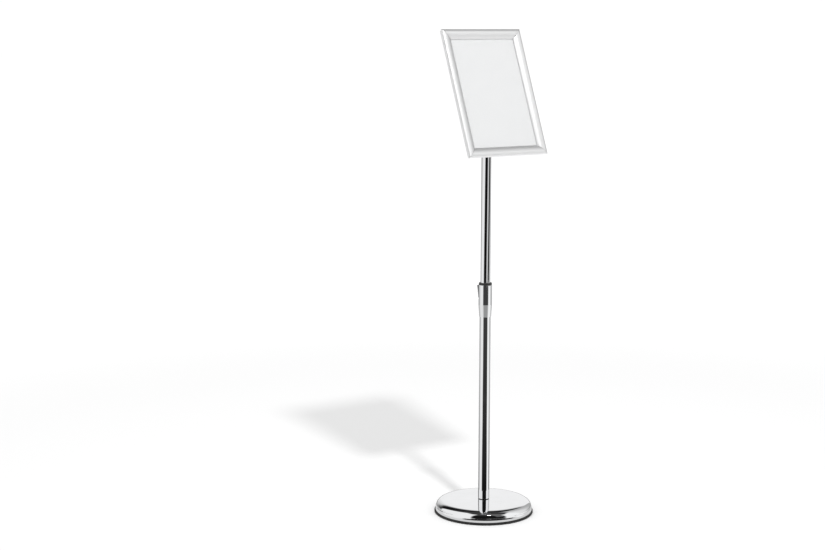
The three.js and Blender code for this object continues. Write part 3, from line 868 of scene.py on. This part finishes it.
def mitred(profile, length, cuts=(), gap=MITRE):
    bm = bmesh.new()
    a = [bm.verts.new((-(length / 2 - s - gap), s, t)) for s, t in profile]
    b = [bm.verts.new((length / 2 - s - gap, s, t)) for s, t in profile]
    m = len(profile)
    bm.faces.new(a)
    bm.faces.new(b)
    for i in range(m):
        j = (i + 1) % m
        bm.faces.new((a[i], a[j], b[j], b[i]))
    bmesh.ops.recalc_face_normals(bm, faces=bm.faces)
    if cuts:
        bm = boolean(bm, [("DIFFERENCE", rod(1.95, -2, 3, 40, T((k, 8.4, 0)))) for k in cuts])
    return bm


SIDES = {
    "bottom": (W, 0, 0, -H / 2),
    "right": (H, 90, W / 2, 0),
    "top": (W, 180, 0, H / 2),
    "left": (H, -90, -W / 2, 0),
}
for side_name, (length, angle, x, y) in SIDES.items():
    place = FRAME @ T((x, y, 0)) @ RZ(angle)
    cuts = (-13, 13) if side_name in ("left", "right") else ()
    piece(
        f"flap_{side_name}_fine", mitred(FLAP, length, gap=MITRE + 0.05), "anodised_aluminium",
        f"{side_name}_flap", f"flap_{side_name}", matrix=place, sharp=28,
    )
    piece(
        f"back_rail_{side_name}_fine", mitred(RAIL, length, cuts), "anodised_aluminium",
        "frame_body", f"back_rail_{side_name}", matrix=place, sharp=28,
    )

bar_l = W / 2 - 5.2
bar_outline = [
    (-bar_l, -20), (-70, -20), (-34, -24), (34, -24), (70, -20), (bar_l, -20),
    (bar_l, 20), (70, 20), (34, 24), (-34, 24), (-70, 20), (-bar_l, 20),
]
bar = boolean(
    prism(soften(bar_outline, [3, 30, 30, 30, 30, 3, 3, 30, 30, 30, 30, 3], n=6), -2.3, -0.3),
    [("DIFFERENCE", rod(4.15, -4, 2, 64))]
    + [
        ("DIFFERENCE", rod(1.95, -4, 2, 40, T((sx * (W / 2 - 8.4), k * 13, 0))))
        for sx in (-1, 1)
        for k in (-1, 1)
    ],
)
piece("mount_bar_fine", ease(bar, 0.35, 50, 2), "silver_paint", "frame_body", "mount_bar", matrix=FRAME)
for i, (sx, k) in enumerate([(-1, -1), (-1, 1), (1, -1), (1, 1)], 1):
    piece(
        f"bar_screw_{i}_fine", pan_screw(1.6, 5.6, 3.2, 1.7), "steel", "frame_body", f"bar_screw_{i}",
        matrix=FRAME @ T((sx * (W / 2 - 8.4), k * 13, -2.6)) @ RX(180),
    )


def sheet(node, slot, corner):
    """A flat sheet with rounded corners and eased edges, in evenly shaped faces."""
    co = [FRAME.inverted() @ (v.co / MM) for v in nodes[node].data.vertices]
    x1, y1 = max(p.x for p in co), max(p.y for p in co)
    t0, t1 = min(p.z for p in co), max(p.z for p in co)
    e = min(0.12, (t1 - t0) / 4)
    xi, yi, n = x1 - corner, y1 - corner, 6
    bm = bmesh.new()

    def ring_at(inset, z):
        pts = []
        for cx, cy, a0 in ((xi, yi, 0), (-xi, yi, 90), (-xi, -yi, 180), (xi, -yi, 270)):
            pts += [bm.verts.new((*p, z)) for p in arc(cx, cy, corner - inset, a0, a0 + 90, n)]
        return pts

    def cap(ring, z):
        mid_pts = [bm.verts.new((x, y, z)) for x, y in ((xi, yi), (-xi, yi), (-xi, -yi), (xi, -yi))]
        bm.faces.new(mid_pts)
        for q in range(4):
            i0 = q * (n + 1)
            for k in range(n):
                bm.faces.new((mid_pts[q], ring[i0 + k], ring[i0 + k + 1]))
            bm.faces.new((mid_pts[q], ring[i0 + n], ring[(i0 + n + 1) % len(ring)], mid_pts[(q + 1) % 4]))

    rings = [ring_at(e, t0), ring_at(0, t0 + e), ring_at(0, t1 - e), ring_at(e, t1)]
    for lo, hi in zip(rings, rings[1:]):
        for k in range(len(lo)):
            j = (k + 1) % len(lo)
            bm.faces.new((lo[k], lo[j], hi[j], hi[k]))
    cap(rings[0], t0)
    cap(rings[-1], t1)
    bmesh.ops.recalc_face_normals(bm, faces=bm.faces)
    return piece(f"{node}_fine", bm, slot, "frame_body", node, matrix=FRAME)


sheet("back_panel", "pale_board", 0.8)
sheet("paper_insert", "sheet_paper", 0.3)
sheet("clear_cover", "clear_sheet", 1.2)

# ------------------------------------------------------------------ CAD nodes that stay
slot_of = {s["node"]: s["material_slot"] for s in frame["record"]["subparts"]}
for name, ob in nodes.items():
    if ob.hide_render:
        continue
    ob.data.materials.clear()
    ob.data.materials.append(MATS[slot_of[name]])
    weld = ob.modifiers.new("weld", "WELD")
    weld.merge_threshold = 1e-6
    bevel = ob.modifiers.new("bevel", "BEVEL")
    bevel.width = 0.0001 if name.startswith("spring") else 0.00022
    bevel.segments = 2
    bevel.limit_method = "ANGLE"
    bevel.angle_limit = math.radians(50)

# ------------------------------------------------------------------ stage
PSI, AL, TH, RL = 0.64141, 0.04496, 0.15154, 0.00133
DIST, HEIGHT, FOCAL = 4.0494, 1.2264, 1640.0


def turned(v):
    c, s = math.cos(PSI), math.sin(PSI)
    return Vector((v[0] * c + v[1] * s, -v[0] * s + v[1] * c, v[2]))


forward = turned((-math.sin(AL) * math.cos(TH), math.cos(AL) * math.cos(TH), -math.sin(TH)))
right = turned((math.cos(AL), math.sin(AL), 0))
up = turned((-math.sin(AL) * math.sin(TH), math.cos(AL) * math.sin(TH), math.cos(TH)))
r2 = right * math.cos(RL) + up * math.sin(RL)
u2 = up * math.cos(RL) - right * math.sin(RL)
cam_data = bpy.data.cameras.new("camera")
cam_data.sensor_fit = "HORIZONTAL"
cam_data.sensor_width = 36
cam_data.lens = 36 * FOCAL / 825
cam_data.clip_start, cam_data.clip_end = 0.1, 200
cam = bpy.data.objects.new("camera", cam_data)
scene.collection.objects.link(cam)
loc = turned((0, -DIST, HEIGHT))
cam.matrix_world = Matrix(
    (
        (r2.x, u2.x, -forward.x, loc.x),
        (r2.y, u2.y, -forward.y, loc.y),
        (r2.z, u2.z, -forward.z, loc.z),
        (0, 0, 0, 1),
    )
)
scene.camera = cam
scene.view_settings.view_transform = "Standard"

# directions round the stand are counted from the camera, positive to the camera's right
CAM_AZ = math.atan2(loc.y, loc.x)


class Studio:
    """Node helpers for a light pattern that depends on direction."""

    def __init__(self, nt):
        self.nt = nt
        self.new = nt.nodes.new

    def op(self, kind, a, b=None):
        n = self.new("ShaderNodeMath")
        n.operation = kind
        for i, x in enumerate((a, b)):
            if x is None:
                continue
            if isinstance(x, (int, float)):
                n.inputs[i].default_value = x
            else:
                self.nt.links.new(x, n.inputs[i])
        return n.outputs[0]

    def split(self, vector):
        sep = self.new("ShaderNodeSeparateXYZ")
        self.nt.links.new(vector, sep.inputs[0])
        return sep.outputs["X"], sep.outputs["Y"], sep.outputs["Z"]

    def angles(self, vector):
        """Azimuth from the camera and elevation, in degrees, and the horizontal length."""
        x, y, z = self.split(vector)
        ca, sa = math.cos(CAM_AZ), math.sin(CAM_AZ)
        towards = self.op("ADD", self.op("MULTIPLY", x, ca), self.op("MULTIPLY", y, sa))
        across = self.op("ADD", self.op("MULTIPLY", x, -sa), self.op("MULTIPLY", y, ca))
        flat = self.op(
            "SQRT",
            self.op("ADD", self.op("MULTIPLY", towards, towards), self.op("MULTIPLY", across, across)),
        )
        az = self.op("MULTIPLY", self.op("ARCTAN2", across, towards), 180 / math.pi)
        el = self.op("MULTIPLY", self.op("ARCTAN2", z, flat), 180 / math.pi)
        return az, el, flat

    def step(self, value, at, soft):
        """0 below, 1 above, smooth across at - soft to at + soft."""
        mr = self.new("ShaderNodeMapRange")
        mr.interpolation_type = "SMOOTHSTEP"
        mr.inputs["From Min"].default_value = at - soft
        mr.inputs["From Max"].default_value = at + soft
        self.nt.links.new(value, mr.inputs["Value"])
        return mr.outputs[0]

    def below(self, value, at, soft):
        return self.op("SUBTRACT", 1.0, self.step(value, at, soft))

    def window(self, value, lo, hi, soft):
        return self.op(
            "MULTIPLY", self.step(value, lo, soft), self.op("SUBTRACT", 1.0, self.step(value, hi, soft))
        )

    def curve(self, value, stops):
        lo, hi = stops[0][0], stops[-1][0]
        mr = self.new("ShaderNodeMapRange")
        mr.inputs["From Min"].default_value = lo
        mr.inputs["From Max"].default_value = hi
        self.nt.links.new(value, mr.inputs["Value"])
        cr = self.new("ShaderNodeValToRGB")
        cr.color_ramp.interpolation = "EASE"
        e = cr.color_ramp.elements
        while len(e) < len(stops):
            e.new(0.5)
        for s, (pos, v) in zip(e, stops):
            s.position = (pos - lo) / (hi - lo)
            s.color = (v, v, v, 1)
        self.nt.links.new(mr.outputs[0], cr.inputs[0])
        bw = self.new("ShaderNodeRGBToBW")
        self.nt.links.new(cr.outputs[0], bw.inputs[0])
        return bw.outputs[0]

    def blend(self, a, b, t):
        """a where t is 0 and b where t is 1."""
        return self.op(
            "ADD", self.op("MULTIPLY", self.op("SUBTRACT", 1.0, t), a), self.op("MULTIPLY", t, b)
        )


# the room: even white light, and in mirror reflections a dark studio with a white backdrop
# behind the stand, a tall softbox on each side and the key above
world = bpy.data.worlds.new("studio")
scene.world = world
world.use_nodes = True
nt = world.node_tree
nt.nodes.clear()
st = Studio(nt)
tc = st.new("ShaderNodeTexCoord")
az, el, _ = st.angles(tc.outputs["Generated"])
lp = st.new("ShaderNodeLightPath")
again = st.step(lp.outputs["Glossy Depth"], 1.5, 0.2)  # 1 once a ray has met two mirror surfaces
once = st.op("SUBTRACT", 1.0, again)
from_back = st.op("SUBTRACT", 180.0, st.op("ABSOLUTE", az))

back_left = st.curve(
    az,
    [
        (-180, 0.94), (-171, 0.92), (-165, 0.82), (-157, 0.68), (-150, 0.55), (-145, 0.33), (-139, 0.16),
        (-132, 0.09), (-127, 0.03), (-118, 0),
    ],
)
back_level = st.op("ADD", back_left, st.op("MULTIPLY", st.step(az, 158.5, 3), 0.94))
back_top = st.below(st.op("ADD", el, st.op("MULTIPLY", from_back, 0.25)), 35.5, 6)
backdrop = st.op("MULTIPLY", back_level, back_top)
left_box = st.op(
    "MULTIPLY", st.op("MULTIPLY", st.step(az, -121.5, 3), st.below(az, -29.5, 4)), st.window(el, -30, 72, 3.5)
)
right_level = st.curve(
    az, [(50, 0), (59, 1.0), (90, 1.0), (100, 0.82), (120, 0.77), (134, 0.6), (148, 0.46), (156, 0.43), (162, 0)]
)
right_top = st.below(st.op("SUBTRACT", el, st.op("MULTIPLY", st.step(az, 82, 15), 9)), 51, 4)
right_box = st.op("MULTIPLY", right_top, st.step(el, -30, 4))
fill = st.op("MULTIPLY", st.window(az, 32, 76, 3), st.window(el, 17, 80, 5))
lamp = st.op("MULTIPLY", st.window(az, 11, 30, 4), st.window(el, 59.5, 64.5, 2))
lum = st.op("ADD", 0.008, st.op("MULTIPLY", st.step(el, 52, 8), 0.04))
lum = st.op("ADD", lum, st.op("MULTIPLY", once, st.op("MULTIPLY", fill, 0.11)))
lum = st.op("MAXIMUM", lum, st.op("MULTIPLY", backdrop, st.blend(1.0, 0.31, again)))
lum = st.blend(lum, 0.93, left_box)
lum = st.op("MAXIMUM", lum, st.op("MULTIPLY", right_level, right_box))
lum = st.op("ADD", lum, st.op("MULTIPLY", once, st.op("MULTIPLY", lamp, 0.4)))
seen = st.new("ShaderNodeBackground")
seen.inputs["Color"].default_value = (1, 1, 1, 1)
seen.inputs["Strength"].default_value = 1.02
even = st.new("ShaderNodeBackground")
even.inputs["Color"].default_value = (1, 1, 1, 1)
even.inputs["Strength"].default_value = 1.0
room = st.new("ShaderNodeBackground")
nt.links.new(lum, room.inputs["Color"])
mix1 = st.new("ShaderNodeMixShader")
nt.links.new(lp.outputs["Is Glossy Ray"], mix1.inputs[0])
nt.links.new(even.outputs[0], mix1.inputs[1])
nt.links.new(room.outputs[0], mix1.inputs[2])
mix2 = st.new("ShaderNodeMixShader")
nt.links.new(lp.outputs["Is Camera Ray"], mix2.inputs[0])
nt.links.new(mix1.outputs[0], mix2.inputs[1])
nt.links.new(seen.outputs[0], mix2.inputs[2])
wo = st.new("ShaderNodeOutputWorld")
nt.links.new(mix2.outputs[0], wo.inputs["Surface"])

# floor: pale all over; mirror reflections see a painted glow pattern in place of its lit surface, pale near the base
# and beside it, and dark in front, where the pale sheet ends and the studio floor begins
bm = bmesh.new()
bmesh.ops.create_circle(bm, cap_ends=True, radius=60, segments=96)
floor = to_object("floor", bm)
fm = bpy.data.materials.new("floor")
fm.use_nodes = True
nt = fm.node_tree
nt.nodes.clear()
st = Studio(nt)
geo = st.new("ShaderNodeNewGeometry")
az, _, radius = st.angles(geo.outputs["Position"])
_, _, slope = st.split(geo.outputs["Incoming"])
steep = st.op("MULTIPLY", st.op("ARCSINE", slope), 180 / math.pi)  # angle of the look at the floor
lp = st.new("ShaderNodeLightPath")
close = st.op("SUBTRACT", 1.0, st.step(radius, 0.72, 0.3))
spread = st.op("ADD", st.op("MULTIPLY", close, 0.09), st.op("MULTIPLY", st.below(radius, 1.6, 0.4), 0.06))
az_mid = st.op("MULTIPLY", az, st.op("SUBTRACT", 1.0, spread))
mid = st.curve(
    az_mid,
    [
        (-180, 0.52), (-104, 0.5), (-90, 0.86), (-46, 0.9), (-39, 0.84), (-32, 0.1), (-27, 0), (43, 0), (48, 0.05),
        (53, 0.7), (59, 1.0), (88, 1.0), (99, 0.55), (140, 0.5), (180, 0.52),
    ],
)
az_far = st.op("SUBTRACT", az, st.op("MULTIPLY", st.op("SUBTRACT", 8.5, steep), 3.9))
far = st.curve(
    az_far,
    [
        (-180, 0.55), (-118, 0.45), (-98, 0.84), (-55, 0.92), (-42, 0.82), (-33, 0.02), (-12, 0.004), (19, 0.004),
        (27, 0.55), (32, 0.64), (49, 0.66), (56, 0.03), (60, 0.002), (86, 0.002), (94, 0.5), (140, 0.55), (180, 0.55),
    ],
)
down = st.curve(
    az,
    [
        (-180, 0.6), (-112, 0.6), (-90, 0.85), (-50, 0.85), (-34, 0.7), (-24, 0.33), (38, 0.33), (50, 0.6),
        (62, 1.0), (95, 1.0), (110, 0.7), (180, 0.6),
    ],
)
# painted shade in the glow: close to the base the floor behind the stand is in the shade of the backdrop
shade = st.curve(radius, [(0.15, 0.48), (0.35, 0.56), (0.7, 0.72), (1.1, 0.86), (1.8, 1.0)])
behind_az = st.op("ADD", st.below(az, -99, 7), st.step(az, 99, 8))
mid = st.op("MULTIPLY", mid, st.blend(1.0, shade, behind_az))
mid = st.op("MAXIMUM", mid, st.curve(radius, [(0.2, 0.008), (0.6, 0.02), (1.2, 0.03), (3.2, 0.05)]))
cone = st.op("MULTIPLY", st.step(steep, 13.6, 0.8), st.step(radius, 1.28, 0.08))
pattern = st.blend(mid, down, cone)
behind_far = st.op(
    "MULTIPLY", st.op("SUBTRACT", 1.0, st.step(steep, 8.98, 0.04)), st.step(radius, 2.2, 0.3)
)
pattern = st.blend(pattern, far, behind_far)
pattern = st.blend(pattern, 0.95, st.step(steep, 26, 4))
pattern = st.blend(0.7, pattern, st.step(lp.outputs["Ray Length"], 0.098, 0.006))
glow = st.new("ShaderNodeEmission")
nt.links.new(pattern, glow.inputs["Color"])
dif = st.new("ShaderNodeBsdfDiffuse")
dif.inputs["Color"].default_value = (0.8, 0.8, 0.8, 1)
fmix = st.new("ShaderNodeMixShader")
nt.links.new(lp.outputs["Is Glossy Ray"], fmix.inputs[0])
# the even light of the sweep, which keeps its far part as white as the near part
lift = st.new("ShaderNodeEmission")
nt.links.new(
    st.op("MULTIPLY", lp.outputs["Is Camera Ray"], st.op("MULTIPLY", st.step(radius, 3.0, 1.4), 0.25)),
    lift.inputs["Strength"],
)
both = st.new("ShaderNodeAddShader")
nt.links.new(dif.outputs[0], both.inputs[0])
nt.links.new(lift.outputs[0], both.inputs[1])
nt.links.new(both.outputs[0], fmix.inputs[1])
nt.links.new(glow.outputs[0], fmix.inputs[2])
fo = st.new("ShaderNodeOutputMaterial")
nt.links.new(fmix.outputs[0], fo.inputs["Surface"])
floor.data.materials.append(fm)

# key: a round softbox high in front, to the right
key_data = bpy.data.lights.new("key", "AREA")
key_data.shape = "DISK"
key_data.size = 0.2
key_data.energy = 3.56
key_data.use_nodes = True
kn = key_data.node_tree
falloff = kn.nodes.new("ShaderNodeLightFalloff")
falloff.inputs["Strength"].default_value = 1.0
em = next(n for n in kn.nodes if n.type == "EMISSION")
kn.links.new(falloff.outputs["Constant"], em.inputs["Strength"])
key = bpy.data.objects.new("key", key_data)
KEY_EL, KEY_AZ, KEY_DIST = math.radians(47.5), math.radians(21), 2.4
key_dir = turned(
    (math.cos(KEY_EL) * math.sin(KEY_AZ), -math.cos(KEY_EL) * math.cos(KEY_AZ), math.sin(KEY_EL))
)
key.location = TILT * MM + key_dir * KEY_DIST
key.rotation_mode = "QUATERNION"
key.rotation_quaternion = key_dir.to_track_quat("Z", "Y")
scene.collection.objects.link(key)
